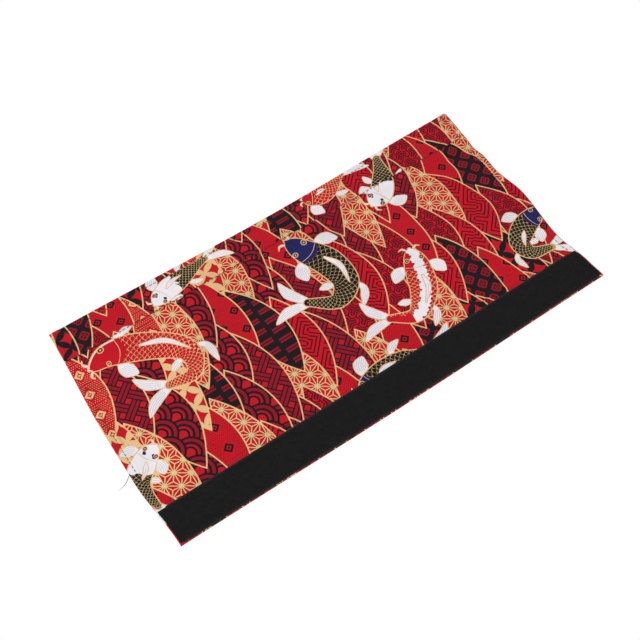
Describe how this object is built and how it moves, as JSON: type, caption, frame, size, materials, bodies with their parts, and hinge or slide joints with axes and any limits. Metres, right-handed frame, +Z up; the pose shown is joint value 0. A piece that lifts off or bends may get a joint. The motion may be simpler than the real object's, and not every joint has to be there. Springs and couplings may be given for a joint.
{
  "type": "hook-and-loop fabric wrap",
  "caption": "Flat rectangular wrap of printed cotton with a loop tape on one long edge and a hook tape under the other; curls closed into a sleeve.",
  "frame": {"origin": "centre of the underside of the middle stave, where the wrap lies on the floor", "axes": "+X along the length, +Y across the width towards the edge with the hook tape, +Z up out of the printed face"},
  "size_m": [0.3296, 0.1703, 0.0042],
  "materials": {
    "outer_cloth": "printed cotton, metallic gold outlines",
    "lining_cloth": "printed cotton seen from its back",
    "loop_tape": "brushed nylon pile",
    "hook_tape": "moulded nylon hooks",
    "hem_thread": "polyester sewing thread",
    "hook_seam": "polyester sewing thread",
    "loop_seam": "polyester sewing thread",
    "loose_thread_left": "polyester sewing thread",
    "loose_thread_right": "polyester sewing thread"
  },
  "bodies": {
    "near_band": {"lining_near": "lining_cloth", "outer_near": "outer_cloth", "loop_tape": "loop_tape", "loop_seam_outer": "loop_seam", "loop_seam_inner": "loop_seam"},
    "stave_1": {"lining_1": "lining_cloth", "outer_1": "outer_cloth", "hem_thread_left_1": "hem_thread", "hem_thread_right_1": "hem_thread"},
    "stave_2": {"lining_2": "lining_cloth", "outer_2": "outer_cloth", "hem_thread_left_2": "hem_thread", "hem_thread_right_2": "hem_thread", "loose_thread_left": "loose_thread_left"},
    "stave_3": {"lining_3": "lining_cloth", "outer_3": "outer_cloth", "hem_thread_left_3": "hem_thread", "hem_thread_right_3": "hem_thread"},
    "stave_4": {"lining_4": "lining_cloth", "outer_4": "outer_cloth", "hem_thread_left_4": "hem_thread", "hem_thread_right_4": "hem_thread"},
    "stave_5": {"lining_5": "lining_cloth", "outer_5": "outer_cloth", "hem_thread_left_5": "hem_thread", "hem_thread_right_5": "hem_thread"},
    "stave_6": {"lining_6": "lining_cloth", "outer_6": "outer_cloth", "hem_thread_left_6": "hem_thread", "hem_thread_right_6": "hem_thread"},
    "stave_7": {"lining_7": "lining_cloth", "outer_7": "outer_cloth", "hem_thread_left_7": "hem_thread", "hem_thread_right_7": "hem_thread"},
    "far_band": {"lining_far": "lining_cloth", "outer_far": "outer_cloth", "hook_tape": "hook_tape", "hook_seam_outer": "hook_seam", "hook_seam_inner": "hook_seam", "hem_thread_left_far": "hem_thread", "hem_thread_right_far": "hem_thread", "loose_thread_right": "loose_thread_right"}
  },
  "joints": [
    {"name": "curl_3", "type": "hinge", "parent": "stave_4", "child": "stave_3", "pos_m": [0, -0.0082, 0], "axis": [1, 0, 0], "range_deg": [0, 40.89]},
    {"name": "curl_2", "type": "hinge", "parent": "stave_3", "child": "stave_2", "pos_m": [0, -0.0246, 0], "axis": [1, 0, 0], "range_deg": [0, 40.9]},
    {"name": "curl_1", "type": "hinge", "parent": "stave_2", "child": "stave_1", "pos_m": [0, -0.041, 0], "axis": [1, 0, 0], "range_deg": [0, 40.9]},
    {"name": "curl_near", "type": "hinge", "parent": "stave_1", "child": "near_band", "pos_m": [0, -0.0574, 0], "axis": [1, 0, 0], "range_deg": [0, 68.47]},
    {"name": "curl_5", "type": "hinge", "parent": "stave_4", "child": "stave_5", "pos_m": [0, 0.0082, 0], "axis": [-1, 0, 0], "range_deg": [0, 40.9]},
    {"name": "curl_6", "type": "hinge", "parent": "stave_5", "child": "stave_6", "pos_m": [0, 0.0246, 0], "axis": [-1, 0, 0], "range_deg": [0, 40.9]},
    {"name": "curl_7", "type": "hinge", "parent": "stave_6", "child": "stave_7", "pos_m": [0, 0.041, 0], "axis": [-1, 0, 0], "range_deg": [0, 46.81]},
    {"name": "curl_far", "type": "hinge", "parent": "stave_7", "child": "far_band", "pos_m": [0, 0.0574, 0.0017], "axis": [-1, 0, 0], "range_deg": [0, 40.31]}
  ],
  "couplings": [
    {"joint": "curl_2", "follows": "curl_3", "ratio": 0.99999},
    {"joint": "curl_1", "follows": "curl_3", "ratio": 0.99999},
    {"joint": "curl_near", "follows": "curl_3", "ratio": 1.6744},
    {"joint": "curl_5", "follows": "curl_3", "ratio": 0.99999},
    {"joint": "curl_6", "follows": "curl_3", "ratio": 0.99999},
    {"joint": "curl_7", "follows": "curl_3", "ratio": 1.1447},
    {"joint": "curl_far", "follows": "curl_3", "ratio": 0.98571}
  ]
}
